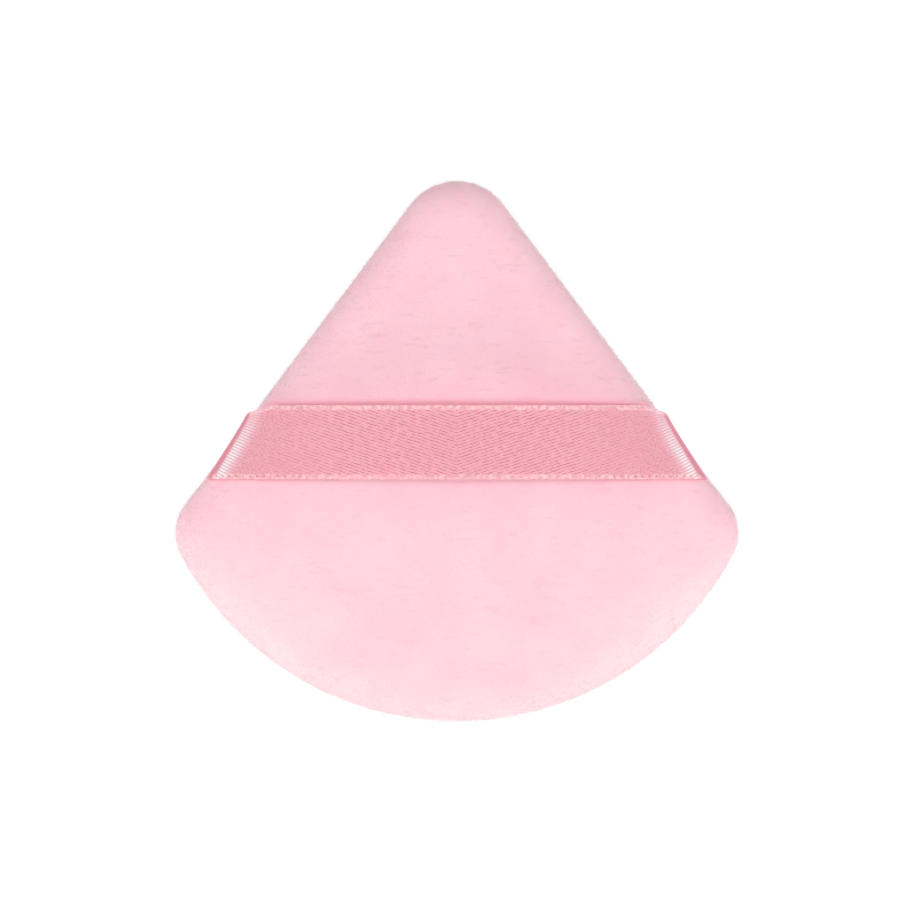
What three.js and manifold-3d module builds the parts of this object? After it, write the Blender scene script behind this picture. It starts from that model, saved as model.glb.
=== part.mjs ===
// Powder puff: two velour panels sewn face to face, turned and filled with a sponge, with a
// satin ribbon across the front whose ends are caught in the side seams as a finger band.
// Millimetres. +Z is up and the ribbon is on top, +Y points to the tip of the fan.
// The origin lies on the surface that the puff rests on, under the middle of its outline.

import * as THREE from "three";
import { mergeGeometries, mergeVertices } from "three/addons/utils/BufferGeometryUtils.js";
import Module from "manifold-3d";

const wasm = await Module();
wasm.setup();

// Outline of the pad, seen from above
const PAD_LENGTH = 80.8; // from the tip to the middle of the curved edge
const SIDE_ANGLE = THREE.MathUtils.degToRad(36.9); // each straight side, from the centreline
const TIP_RADIUS = 8.6;
const CORNER_RADIUS = 6.8;
const CURVED_EDGE_RADIUS = 46.7;

// Section of the pad
const SEAM_HEIGHT = 4.8; // seam above the surface that the puff rests on
const FRONT_RISE = 5; // front face above the seam, at its shoulder
const FRONT_CROWN = 0.7; // further rise at the middle of the front face
const FRONT_RIM = 11; // width of the rounded rim of the front face
const REAR_RIM = 9; // width of the rounded rim of the rear face, which is flat inside it
const SEAM_LIP = 0.7; // where each panel bulges most, above or below the seam
const SEAM_DIP = 0.5; // how far the stitches draw the seam in from the bulge
const VELOUR = 1.2; // velour with its pile

// Seam
const SEAM_GAP = 0.3; // between the two allowances
const ALLOWANCE_WIDTH = 3.2; // turned-in edge of a panel, measured from its inner face
const ALLOWANCE_THICKNESS = 0.8; // the pile is pressed flat there
const STITCH_INSET = 2.5; // stitch line from the edge of the pad
const STITCH_PITCH = 4.8;
const TURNING_GAP = 38; // length at the curved edge that is closed by hand

// Thread
const THREAD_RADIUS = 0.12;
const THREAD_CLEARANCE = 0.14; // round a thread, in its hole and over the allowances
const LOCK_REACH = 0.36; // half the width of the loops that hook into each other
const LOCK_DEPTH = 0.25; // how far each loop reaches past the middle of the seam
const THREAD_TAIL = 1.4; // loose end past the last hole

// Ribbon
const RIBBON_WIDTH = 11;
const RIBBON_THICKNESS = 0.3;
const RIBBON_AHEAD = 1.3; // its centreline ahead of the middle of the pad
const FINGER_GAP = 5; // clear height under its middle
const SHOULDER_LIFT = 0.3; // its shoulders above the shoulder of the front face
const SHOULDER_DROP = 2.2; // height of the bend where it turns down at the side
// The width of that bend, and where it turns down and meets the seam, outwards from the pad's
// edge. It leans over the edge at its selvedge near the tip and turns down softly at the other.
const SHOULDER_BEND = { tipSide: 2.8, curveSide: 4.2 };
const SHOULDER_OUT = { tipSide: 1.7, curveSide: -0.4 };
const LEG_OUT = { tipSide: 0.9, curveSide: -0.3 };
const GATHER = 2.4; // how far the selvedge near the tip is drawn in where it meets the seam
const TUCK_BEND = 0.55; // radius where it turns into the seam
const RIBBON_PAST_STITCH = 1.4; // how far its ends reach past the stitch line

// Sponge
const SPONGE_INSET = 3; // its edge from the edge of the pad

const CLEARANCE = 0.3; // between neighbours that touch on the real puff

// Facets
const LEAST_RADIUS = 0.6; // roundness that is left in the corners of rings far inside the outline
const OUTLINE_STEPS = { curved: 8, corner: 4, side: 3, tip: 5 };
const RIM_RINGS = 5; // across the rim of an outer face
const LINING_RINGS = 3; // across the rim of a hidden face
const CROWN_RINGS = [0.3, 0.65]; // shares of the way from the rim to the middle
const SPAN_STEPS = 9;
const END_STEPS = [6, 3, 2]; // leg, tuck and tail of the ribbon
const RIBBON_STRIPS = 3;
const THREAD_SIDES = 4;

// Places that follow from the sizes above
const SIDE_NORMAL = new THREE.Vector2(Math.cos(SIDE_ANGLE), Math.sin(SIDE_ANGLE));
const SIDE_RUN = new THREE.Vector2(Math.sin(SIDE_ANGLE), -Math.cos(SIDE_ANGLE));
const TIP_Y = PAD_LENGTH / 2;
const CURVED_EDGE_CENTRE = new THREE.Vector2(0, CURVED_EDGE_RADIUS - PAD_LENGTH / 2);
// Distance of a straight side from the origin
const SIDE_DISTANCE = (TIP_Y - TIP_RADIUS) * SIDE_NORMAL.y + TIP_RADIUS;
// The largest circle in the outline touches both sides and the middle of the curved edge
const INRADIUS = (SIDE_DISTANCE + SIDE_NORMAL.y * PAD_LENGTH / 2) / (1 + SIDE_NORMAL.y);
const PAD_MIDDLE = new THREE.Vector2(0, INRADIUS - PAD_LENGTH / 2);
const FRONT_TOP = SEAM_HEIGHT + FRONT_RISE + FRONT_CROWN;
const ALLOWANCE_INSET = VELOUR + ALLOWANCE_WIDTH;
const ALLOWANCE_FACE = SEAM_GAP / 2 + ALLOWANCE_THICKNESS; // its outer face, from the seam
const THREAD_RUN = ALLOWANCE_FACE + THREAD_CLEARANCE + THREAD_RADIUS; // thread on the allowance
const SHOULDER_HEIGHT = SEAM_HEIGHT + FRONT_RISE + SHOULDER_LIFT;
const RIBBON_TOP = FRONT_TOP + FINGER_GAP + RIBBON_THICKNESS / 2; // middle of its thickness
const RIBBON_TAIL_INSET = STITCH_INSET + RIBBON_PAST_STITCH;

// The pad's outline moved inwards, counter-clockwise from the middle of the curved edge.
function outline(inset) {
  const tipRadius = Math.max(TIP_RADIUS - inset, LEAST_RADIUS);
  const cornerRadius = Math.max(CORNER_RADIUS - inset, LEAST_RADIUS);
  const edgeRadius = CURVED_EDGE_RADIUS - inset;
  const side = SIDE_DISTANCE - inset;
  const tip = new THREE.Vector2(0, (side - tipRadius) / SIDE_NORMAL.y);

  // The corner's centre lies on a line beside the side and on a circle inside the curved edge.
  const foot = SIDE_NORMAL.clone().multiplyScalar(side - cornerRadius);
  const reach = foot.clone().sub(CURVED_EDGE_CENTRE);
  const half = reach.dot(SIDE_RUN);
  const run = -half + Math.sqrt(half ** 2 - reach.lengthSq() + (edgeRadius - cornerRadius) ** 2);
  const corner = foot.addScaledVector(SIDE_RUN, run);
  const turn = corner.clone().sub(CURVED_EDGE_CENTRE).angle() - 2 * Math.PI;

  const arc = (x, y, radius, from, to) => new THREE.EllipseCurve(x, y, radius, radius, from, to);
  const edgeY = CURVED_EDGE_CENTRE.y;
  const left = Math.PI - SIDE_ANGLE;
  const rightCorner = arc(corner.x, corner.y, cornerRadius, turn, SIDE_ANGLE);
  const tipArc = arc(0, tip.y, tipRadius, SIDE_ANGLE, left);
  const leftCorner = arc(-corner.x, corner.y, cornerRadius, left, Math.PI - turn);

  const path = new THREE.CurvePath();
  path.add(arc(0, edgeY, edgeRadius, -Math.PI / 2, turn));
  path.add(rightCorner);
  path.add(new THREE.LineCurve(rightCorner.getPoint(1), tipArc.getPoint(0)));
  path.add(tipArc);
  path.add(new THREE.LineCurve(tipArc.getPoint(1), leftCorner.getPoint(0)));
  path.add(leftCorner);
  path.add(arc(0, edgeY, edgeRadius, Math.PI - turn, 1.5 * Math.PI));
  return path;
}

// Points round an inset outline, the same number at each inset.
function ring({ inset, z }) {
  const { curved, corner, side, tip } = OUTLINE_STEPS;
  const steps = [curved, corner, side, tip, side, corner, curved];
  const points = [];
  outline(inset).curves.forEach((curve, index) => {
    for (let i = 0; i < steps[index]; i += 1) {
      const { x, y } = curve.getPoint(i / steps[index]);
      points.push(x, y, z);
    }
  });
  return points;
}

function indexedGeometry(positions, triangles) {
  const geometry = new THREE.BufferGeometry();
  geometry.setAttribute("position", new THREE.Float32BufferAttribute(positions, 3));
  geometry.setIndex(triangles);
  return geometry;
}

// A closed skin through rings of equal count, from a middle point to a middle point.
function skin(rings, firstMiddle, lastMiddle) {
  const positions = rings.flat();
  const count = rings[0].length / 3;
  const first = rings.length * count;
  const last = first + 1;
  positions.push(...firstMiddle, ...lastMiddle);
  const triangles = [];
  for (let j = 0; j < count; j += 1) {
    const next = (j + 1) % count;
    triangles.push(first, j, next);
    for (let i = 0; i + 1 < rings.length; i += 1) {
      const here = i * count;
      const there = here + count;
      triangles.push(here + j, there + j, there + next, here + j, there + next, here + next);
    }
    const end = (rings.length - 1) * count;
    triangles.push(last, end + next, end + j);
  }
  return indexedGeometry(positions, triangles);
}

// A body whose section is given as insets and heights, carried round the outline.
function padBody(section, firstHeight, lastHeight) {
  const { x, y } = PAD_MIDDLE;
  return skin(section.map(ring), [x, y, firstHeight], [x, y, lastHeight]);
}

// Rounded rim: rises steeply at 0 and levels out at 1.
function rimShape(share) {
  const rest = 1 - THREE.MathUtils.clamp(share, 0, 1);
  return Math.sqrt(1 - rest ** 3);
}

function crownShape(inset) {
  return 1 - (1 - inset / INRADIUS) ** 2;
}

// Height of the front face, or of the layer that lies a depth under it.
function frontHeight(inset, depth) {
  const rise = FRONT_RISE - SEAM_LIP - depth;
  const rim = rimShape((inset - depth) / (FRONT_RIM - depth));
  return SEAM_HEIGHT + SEAM_LIP + rise * rim + FRONT_CROWN * crownShape(inset);
}

function rearHeight(inset, depth) {
  const drop = SEAM_HEIGHT - SEAM_LIP - depth;
  return SEAM_HEIGHT - SEAM_LIP - drop * rimShape((inset - depth) / (REAR_RIM - depth));
}

// Insets of the rings across a face, from its edge inwards, close together where it is round.
function faceInsets(edge, rim, rings) {
  const crowding = 2.2;
  const insets = [];
  for (let i = 0; i <= rings; i += 1) {
    insets.push(edge + (rim - edge) * (i / rings) ** crowding);
  }
  CROWN_RINGS.forEach((share) => insets.push(rim + (INRADIUS - rim) * share));
  return insets;
}

function face(height, edge, rim, depth) {
  const rings = depth === 0 ? RIM_RINGS : LINING_RINGS;
  return faceInsets(edge, rim, rings).map((inset) => ({ inset, z: height(inset, depth) }));
}

// The turned-in edge of a panel, from the drawn-in seam to the panel's inner face.
// Side is 1 above the seam and -1 below it.
function allowance(side) {
  const inner = SEAM_HEIGHT + side * SEAM_GAP / 2;
  const outer = SEAM_HEIGHT + side * ALLOWANCE_FACE;
  return [
    { inset: SEAM_DIP, z: inner },
    { inset: ALLOWANCE_INSET, z: inner },
    { inset: ALLOWANCE_INSET, z: outer },
    { inset: VELOUR, z: outer },
  ];
}

function frontPanelBody() {
  const outside = face(frontHeight, 0, FRONT_RIM, 0).reverse();
  const inside = face(frontHeight, VELOUR, FRONT_RIM, VELOUR).slice(1);
  return padBody([...outside, ...allowance(1), ...inside], FRONT_TOP, FRONT_TOP - VELOUR);
}

function rearPanelBody() {
  const inside = face(rearHeight, VELOUR, REAR_RIM, VELOUR).slice(1).reverse();
  const outside = face(rearHeight, 0, REAR_RIM, 0);
  return padBody([...inside, ...allowance(-1).reverse(), ...outside], VELOUR, 0);
}

// The sponge fills the cover and has a groove round its edge for the sewn allowances.
function spongeBody() {
  const depth = VELOUR + CLEARANCE;
  const groove = THREAD_RUN + THREAD_RADIUS + CLEARANCE;
  const grooveInset = ALLOWANCE_INSET + CLEARANCE;
  const top = face(frontHeight, SPONGE_INSET, FRONT_RIM, depth).reverse();
  const bottom = face(rearHeight, SPONGE_INSET, REAR_RIM, depth);
  const edge = [
    { inset: SPONGE_INSET, z: SEAM_HEIGHT + groove },
    { inset: grooveInset, z: SEAM_HEIGHT + groove },
    { inset: grooveInset, z: SEAM_HEIGHT - groove },
    { inset: SPONGE_INSET, z: SEAM_HEIGHT - groove },
  ];
  return padBody([...top, ...edge, ...bottom], FRONT_TOP - depth, depth);
}

// One thread line of the ribbon's right half, from its middle to its end in the seam.
// It arches across the pad along X, bends over a line beside the straight side, runs down and
// turns into the seam. The nearer it is to the tip, the further the seam draws it aside.
function ribbonLine(y, tailInset) {
  const share = (y - RIBBON_AHEAD) / RIBBON_WIDTH + 0.5;
  const between = ({ tipSide, curveSide }) => THREE.MathUtils.lerp(curveSide, tipSide, share);
  const shoulder = between(SHOULDER_OUT);
  const leg = between(LEG_OUT);
  const fold = shoulder - between(SHOULDER_BEND);
  const foldX = (SIDE_DISTANCE + fold - SIDE_NORMAL.y * y) / SIDE_NORMAL.x;
  const rise = RIBBON_TOP - SHOULDER_HEIGHT;
  const points = [];
  for (let i = 0; i < SPAN_STEPS; i += 1) {
    const part = i / SPAN_STEPS;
    points.push(new THREE.Vector3(foldX * part, y, RIBBON_TOP - rise * part ** 2));
  }

  // The end in a plane square to the side: x outwards from the pad's edge, y up.
  const slope = 2 * rise / (foldX * SIDE_NORMAL.x);
  const tuckHeight = SEAM_HEIGHT + TUCK_BEND;
  const right = Math.PI / 2;
  const tuck = new THREE.EllipseCurve(leg - TUCK_BEND, tuckHeight, TUCK_BEND, TUCK_BEND, 0, -right, true);
  const end = new THREE.CurvePath();
  end.add(new THREE.CubicBezierCurve(
    new THREE.Vector2(fold, SHOULDER_HEIGHT),
    new THREE.Vector2(shoulder, SHOULDER_HEIGHT - slope * (shoulder - fold)),
    new THREE.Vector2(leg, SHOULDER_HEIGHT - SHOULDER_DROP),
    new THREE.Vector2(leg, tuckHeight),
  ));
  end.add(tuck);
  end.add(new THREE.LineCurve(tuck.getPoint(1), new THREE.Vector2(-tailInset, SEAM_HEIGHT)));
  const crowding = 4; // keeps the gather close to the selvedge
  end.curves.forEach((curve, index) => {
    const isLeg = index === 0;
    for (let i = isLeg ? 0 : 1; i <= END_STEPS[index]; i += 1) {
      const part = i / END_STEPS[index];
      const { x: out, y: z } = curve.getPointAt(part);
      const down = isLeg ? part : 1;
      const drawnIn = y - GATHER * share ** crowding * down;
      const x = (SIDE_DISTANCE + out - SIDE_NORMAL.y * drawnIn) / SIDE_NORMAL.x;
      points.push(new THREE.Vector3(x, drawnIn, z));
    }
  });
  return points;
}

// The ribbon as a sheet of the given thickness through its thread lines, grown on all sides.
function ribbonBody(grow) {
  const width = RIBBON_WIDTH + 2 * grow;
  const thickness = RIBBON_THICKNESS + 2 * grow;
  const lines = [];
  for (let i = 0; i <= RIBBON_STRIPS; i += 1) {
    const y = RIBBON_AHEAD + width * (i / RIBBON_STRIPS - 0.5);
    const rightHalf = ribbonLine(y, RIBBON_TAIL_INSET + grow);
    const leftHalf = rightHalf.slice(1).reverse().map((p) => new THREE.Vector3(-p.x, p.y, p.z));
    lines.push([...leftHalf, ...rightHalf]);
  }
  const rows = lines.length;
  const columns = lines[0].length;
  const clampRow = (i) => THREE.MathUtils.clamp(i, 0, rows - 1);
  const clampColumn = (j) => THREE.MathUtils.clamp(j, 0, columns - 1);
  const faceNormal = (i, j) => {
    const along = lines[i][clampColumn(j + 1)].clone().sub(lines[i][clampColumn(j - 1)]);
    const across = lines[clampRow(i + 1)][j].clone().sub(lines[clampRow(i - 1)][j]);
    return along.cross(across).normalize();
  };

  // Upper face first, then the lower face in the same order.
  const positions = [];
  [0.5, -0.5].forEach((side) => {
    lines.forEach((line, i) => line.forEach((point, j) => {
      const { x, y, z } = point.clone().addScaledVector(faceNormal(i, j), side * thickness);
      positions.push(x, y, z);
    }));
  });
  const upper = (i, j) => i * columns + j;
  const lower = (i, j) => rows * columns + upper(i, j);
  const triangles = [];
  const quad = (a, b, c, d) => triangles.push(a, b, c, a, c, d);
  for (let i = 0; i + 1 < rows; i += 1) {
    for (let j = 0; j + 1 < columns; j += 1) {
      quad(upper(i, j), upper(i, j + 1), upper(i + 1, j + 1), upper(i + 1, j));
      quad(lower(i, j), lower(i + 1, j), lower(i + 1, j + 1), lower(i, j + 1));
    }
    const last = columns - 1;
    quad(upper(i, 0), upper(i + 1, 0), lower(i + 1, 0), lower(i, 0));
    quad(upper(i, last), lower(i, last), lower(i + 1, last), upper(i + 1, last));
  }
  for (let j = 0; j + 1 < columns; j += 1) {
    const last = rows - 1;
    quad(upper(0, j), lower(0, j), lower(0, j + 1), upper(0, j + 1));
    quad(upper(last, j), upper(last, j + 1), lower(last, j + 1), lower(last, j));
  }
  return indexedGeometry(positions, triangles);
}

// Seam frame: a point at a distance along the stitch line, moved sideways and up from the seam.
const STITCH_LINE = outline(STITCH_INSET);
const STITCH_LENGTH = STITCH_LINE.getLength();

function seamPoint(along, sideways, up) {
  const share = THREE.MathUtils.euclideanModulo(along / STITCH_LENGTH, 1);
  const { x, y } = STITCH_LINE.getPoint(share);
  const run = STITCH_LINE.getTangent(share);
  return new THREE.Vector3(x - run.y * sideways, y + run.x * sideways, SEAM_HEIGHT + up);
}

// Evenly spaced holes between two distances along the stitch line.
function holesBetween(from, to) {
  const count = Math.round((to - from) / STITCH_PITCH);
  return Array.from({ length: count + 1 }, (_, i) => from + (to - from) * i / count);
}

const SEAM_HOLES = holesBetween(TURNING_GAP / 2, STITCH_LENGTH - TURNING_GAP / 2);
const CLOSING_HOLES = holesBetween(STITCH_PITCH - TURNING_GAP / 2, TURNING_GAP / 2 - STITCH_PITCH);

// Needle holes through both allowances and the ribbon ends. They are square, with a corner
// along the seam and one across it for each leg of the hooked loops.
function holeBodies() {
  const corners = 4;
  const reach = LOCK_REACH + (THREAD_RADIUS + THREAD_CLEARANCE) * Math.SQRT2;
  const height = 2 * (ALLOWANCE_FACE + CLEARANCE);
  const holes = [...SEAM_HOLES, ...CLOSING_HOLES].map((along) => {
    const { x, y, z } = seamPoint(along, 0, 0);
    const across = seamPoint(along, 1, 0);
    const hole = new THREE.CylinderGeometry(reach, reach, height, corners);
    hole.rotateX(Math.PI / 2).rotateZ(Math.atan2(across.y - y, across.x - x));
    return hole.translate(x, y, z);
  });
  return mergeGeometries(holes);
}

// A round thread through points, closed at both ends.
function threadBody(points) {
  const rings = [];
  const normal = new THREE.Vector3();
  points.forEach((point, i) => {
    const before = points[Math.max(i - 1, 0)];
    const after = points[Math.min(i + 1, points.length - 1)];
    const run = after.clone().sub(before).normalize();
    if (i === 0) normal.set(-run.y, run.x, 0);
    normal.addScaledVector(run, -normal.dot(run)).normalize();
    const side = run.clone().cross(normal);
    const around = [];
    for (let k = 0; k < THREAD_SIDES; k += 1) {
      const angle = -2 * Math.PI * k / THREAD_SIDES;
      const spot = point.clone().addScaledVector(normal, THREAD_RADIUS * Math.cos(angle));
      spot.addScaledVector(side, THREAD_RADIUS * Math.sin(angle));
      around.push(spot.x, spot.y, spot.z);
    }
    rings.push(around);
  });
  return skin(rings, points[0].toArray(), points[points.length - 1].toArray());
}

// One thread of the lockstitch. The needle thread lies on the upper allowance and sends a loop
// down each hole along the seam; the bobbin thread lies below and sends one up across the seam.
// The loops hook round each other at the middle of the seam.
function lockstitch(side) {
  const points = [seamPoint(SEAM_HOLES[0] - THREAD_TAIL, 0, side * THREAD_RUN)];
  const loop = (along, shift, up) => {
    const isNeedle = side > 0;
    return seamPoint(along + (isNeedle ? shift : 0), isNeedle ? 0 : shift, side * up);
  };
  SEAM_HOLES.forEach((along) => {
    points.push(loop(along, -LOCK_REACH, THREAD_RUN));
    points.push(loop(along, -LOCK_REACH, 0));
    points.push(loop(along, 0, -LOCK_DEPTH));
    points.push(loop(along, LOCK_REACH, 0));
    points.push(loop(along, LOCK_REACH, THREAD_RUN));
  });
  points.push(seamPoint(SEAM_HOLES[SEAM_HOLES.length - 1] + THREAD_TAIL, 0, side * THREAD_RUN));
  return threadBody(points);
}

// Running stitch by hand that closes the turning gap: down one hole, up the next.
function closingStitch() {
  const points = [seamPoint(CLOSING_HOLES[0] - THREAD_TAIL, 0, THREAD_RUN)];
  CLOSING_HOLES.forEach((along, i) => {
    const up = i % 2 === 0 ? THREAD_RUN : -THREAD_RUN;
    points.push(seamPoint(along, 0, up), seamPoint(along, 0, -up));
  });
  const side = CLOSING_HOLES.length % 2 === 0 ? 1 : -1;
  const end = CLOSING_HOLES[CLOSING_HOLES.length - 1] + THREAD_TAIL;
  points.push(seamPoint(end, 0, side * THREAD_RUN));
  return threadBody(points);
}

// A geometry as a solid that can be cut, and back.
function solid(geometry) {
  const bare = geometry.clone();
  bare.deleteAttribute("normal");
  bare.deleteAttribute("uv");
  const merged = mergeVertices(bare);
  return new wasm.Manifold(new wasm.Mesh({
    numProp: 3,
    vertProperties: Float32Array.from(merged.attributes.position.array),
    triVerts: Uint32Array.from(merged.index.array),
  }));
}

function cutGeometry(geometry, cutters) {
  const { vertProperties, triVerts } = cutters.reduce(
    (body, cutter) => body.subtract(cutter),
    solid(geometry),
  ).getMesh();
  return indexedGeometry(Array.from(vertProperties), Array.from(triVerts));
}

const holes = solid(holeBodies());
const ribbonRoom = solid(ribbonBody(CLEARANCE));

const velour = { color: 0xfdced9, roughness: 0.95, metalness: 0 };
const satin = { color: 0xf1a9b5, roughness: 0.45, metalness: 0 };
const foam = { color: 0xfff4ec, roughness: 0.9, metalness: 0 };
const polyester = { color: 0xf7c4cf, roughness: 0.6, metalness: 0 };

const puff = new THREE.Group();

function addPiece(name, geometry, look) {
  geometry.computeVertexNormals();
  const mesh = new THREE.Mesh(geometry, new THREE.MeshStandardMaterial(look));
  mesh.name = name;
  puff.add(mesh);
}

addPiece("front_panel", cutGeometry(frontPanelBody(), [holes, ribbonRoom]), velour);
addPiece("rear_panel", cutGeometry(rearPanelBody(), [holes, ribbonRoom]), velour);
addPiece("sponge_core", spongeBody(), foam);
addPiece("finger_ribbon", cutGeometry(ribbonBody(0), [holes]), satin);
addPiece("seam_needle_thread", lockstitch(1), polyester);
addPiece("seam_bobbin_thread", lockstitch(-1), polyester);
addPiece("closing_thread", closingStitch(), polyester);

export default puff;
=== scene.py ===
"""Powder puff: a fan-shaped velour pad with a satin ribbon across its front as a finger band.

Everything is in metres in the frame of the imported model: +Z up, +Y towards the tip of the fan,
the origin on the surface that the puff rests on.
"""

import math

import bpy
import numpy as np
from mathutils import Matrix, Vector
from mathutils.bvhtree import BVHTree

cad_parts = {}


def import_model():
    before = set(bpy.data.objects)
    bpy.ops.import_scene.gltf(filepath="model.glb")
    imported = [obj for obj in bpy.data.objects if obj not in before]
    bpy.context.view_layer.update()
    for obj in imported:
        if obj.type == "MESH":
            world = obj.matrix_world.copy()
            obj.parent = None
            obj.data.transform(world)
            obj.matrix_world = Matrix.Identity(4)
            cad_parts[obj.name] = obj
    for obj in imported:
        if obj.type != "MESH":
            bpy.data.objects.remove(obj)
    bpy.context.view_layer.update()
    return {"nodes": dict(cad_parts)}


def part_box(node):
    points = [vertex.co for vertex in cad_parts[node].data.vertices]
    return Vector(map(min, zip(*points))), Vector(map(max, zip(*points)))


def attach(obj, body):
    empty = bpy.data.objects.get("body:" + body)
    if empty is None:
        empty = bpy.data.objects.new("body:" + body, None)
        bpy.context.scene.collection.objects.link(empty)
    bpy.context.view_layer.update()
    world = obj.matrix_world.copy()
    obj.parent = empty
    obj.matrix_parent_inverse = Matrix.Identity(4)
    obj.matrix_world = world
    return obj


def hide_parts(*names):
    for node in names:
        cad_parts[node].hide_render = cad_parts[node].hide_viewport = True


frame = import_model()


def linear(red, green, blue):
    """A colour given in 0 to 255 as shown on a screen, in the linear light that shaders use."""
    values = [c / 255 for c in (red, green, blue)]
    return (*[c / 12.92 if c <= 0.04045 else ((c + 0.055) / 1.055) ** 2.4 for c in values], 1.0)


def grey(level):
    """A grey given in linear light."""
    return (level, level, level, 1.0)


MM = 0.001
TINY = 1e-9
SEED = 20
FRONT, REAR = 1, -1

# Sizes read from the frame
FRONT_LOW, FRONT_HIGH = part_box("front_panel")
REAR_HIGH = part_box("rear_panel")[1]
RIBBON_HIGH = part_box("finger_ribbon")[1]
PAD_LENGTH = -2 * FRONT_LOW.y
SEAM_HEIGHT = (FRONT_LOW.z + REAR_HIGH.z) / 2
SEAM_GAP = FRONT_LOW.z - REAR_HIGH.z
FRONT_TOP = FRONT_HIGH.z

# Outline of the pad
SIDE_ANGLE = math.radians(36.9)
TIP_RADIUS = 8.6 * MM
CORNER_RADIUS = 6.8 * MM
CURVED_EDGE_RADIUS = 46.7 * MM
LEAST_RADIUS = 0.6 * MM

# Places that follow from the outline
SIDE_NORMAL = np.array([math.cos(SIDE_ANGLE), math.sin(SIDE_ANGLE)])
SIDE_RUN = np.array([math.sin(SIDE_ANGLE), -math.cos(SIDE_ANGLE)])
EDGE_CENTRE = np.array([0.0, CURVED_EDGE_RADIUS - PAD_LENGTH / 2])
SIDE_DISTANCE = (PAD_LENGTH / 2 - TIP_RADIUS) * SIDE_NORMAL[1] + TIP_RADIUS
INRADIUS = (SIDE_DISTANCE + SIDE_NORMAL[1] * PAD_LENGTH / 2) / (1 + SIDE_NORMAL[1])
PAD_MIDDLE = np.array([0.0, INRADIUS - PAD_LENGTH / 2])

# Section of the pad
FRONT_CROWN = 0.7 * MM
FRONT_RISE = FRONT_TOP - SEAM_HEIGHT - FRONT_CROWN
FRONT_RIM = 11 * MM
REAR_RIM = 9 * MM
RIM_POWER = 3
SEAM_LIP = 0.7 * MM
SEAM_DIP = 0.5 * MM
VELOUR = 1.2 * MM
ALLOWANCE_INSET = 4.4 * MM
ALLOWANCE_THICKNESS = 0.8 * MM

# Inset, and height off the seam, of the two rings that round the rim in towards the seam
LIP_RINGS = ((0.06 * MM, 0.5 * MM), (0.22 * MM, 0.3 * MM))

# Points along half the curved edge, a corner, a side and the tip
FORM_STEPS = (48, 10, 26, 18)
SKIN_STEPS = (84, 18, 52, 30)

# Rings across a face's rim and across its crown, and how they crowd towards the edge
FINE_RINGS = (30, 26)
COARSE_RINGS = (8, 6)
SPONGE_RINGS = (12, 10)
RIM_CROWDING = 2.2

# Simulation of the stuffed cover, which runs on an enlarged form
SIM_SCALE = 6.0
SIM_VOXEL = 5.5 * MM
SIM_FRAMES = 20
SIM_PRESSURE = 0.4
SIM_STRETCH = 15.0
SIM_BEND = 5.0
SIM_QUALITY = 6
SIM_CAP = 3.0 * MM
SMOOTH_FACTOR = 0.5
SMOOTH_TIMES = 60
SEAM_HOLD = 1.2 * MM
FLAT_HOLD = 0.3 * MM
HELD = "held"
SWELL_EASE = 9 * MM
RAY_START = 0.1

# Ribbon
RIBBON_WIDTH = 11 * MM
RIBBON_THICKNESS = 0.3 * MM
RIBBON_AHEAD = 1.3 * MM
RIBBON_TOP = RIBBON_HIGH.z - RIBBON_THICKNESS / 2
SHOULDER_LIFT = 0.3 * MM
SHOULDER_HEIGHT = SEAM_HEIGHT + FRONT_RISE + SHOULDER_LIFT
SHOULDER_DROP = 2.2 * MM
SHOULDER_BEND = {"tip_side": 2.8 * MM, "curve_side": 4.2 * MM}
SHOULDER_OUT = {"tip_side": 1.25 * MM, "curve_side": -0.4 * MM}
LEG_OUT = {"tip_side": 0.5 * MM, "curve_side": -0.3 * MM}
GATHER = 2.4 * MM
GATHER_POWER = 4
TUCK_BEND = 0.55 * MM
TAIL_INSET = 3.9 * MM
LEG_SAMPLES = 200
TUCK_SAMPLES = 40
SHARP_EDGE = math.radians(55)

# Points across the ribbon, and along half its span, one leg, its tuck and its tail in the seam
RIBBON_MESH = {"rows": 111, "span": 130, "leg": 40, "tuck": 8, "tail": 10}
PRESS_MESH = {"rows": 25, "span": 20, "leg": 40, "tuck": 8, "tail": 4}

# Dents of the front cover under the ribbon's ends, where it has no pile
BARE_FROM = 15 * MM
PRESS_MARGIN = 0.8 * MM
PRESS_GAP = 0.06 * MM
PRESS_REACH = 8 * MM

# Weave of the ribbon
TWILL_ANGLE = math.radians(18)
TWILL_PITCH = 0.45 * MM
YARN_PITCH = 0.17 * MM
YARN_STEP = 0.7
SELVEDGE = 0.8 * MM
SELVEDGE_PITCH = 1.1 * MM
RIB_PITCH = 0.5 * MM
RIB_SLOPE = 0.42

# Relief of the weave, shallower where the ribbon gets steep at its folds
TWILL_DEPTH = 0.006 * MM
FOLD_DEPTH = 0.003 * MM
STEEP_START = 0.34
STEEP_SPAN = 0.2
BEAD_HEIGHT = 0.025 * MM
BEAD_WAVE = 0.4

# Sponge
SPONGE_CLEAR = 0.35 * MM
SPONGE_EDGE = 3.05 * MM
GROOVE_CLEAR = 0.72 * MM
PORE_DEPTH = 0.06 * MM

# Pile: needles with three points at the foot and one at the tip
PILE_COUNT = 26000
PILE_LENGTH = (0.30 * MM, 0.60 * MM)
PILE_WIDTH = 0.04 * MM
PILE_DEPTH = 0.05 * MM
PILE_LEAN = 0.3
PILE_SCATTER = 0.35
PILE_UPRIGHT = 0.3
PILE_CLEAR = 0.3 * MM
PILE_RIM = 7 * MM
PILE_CROWD = 8.0
NEEDLE_SIDES = 3
NEEDLE_FACES = ((0, 1, 3), (1, 2, 3), (2, 0, 3), (0, 2, 1))
CELL_SHARE = 0.35

# Names of the flat maps of the ribbon and of the pile
WEAVE = "weave"
BAKE = "OFBake"

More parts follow.
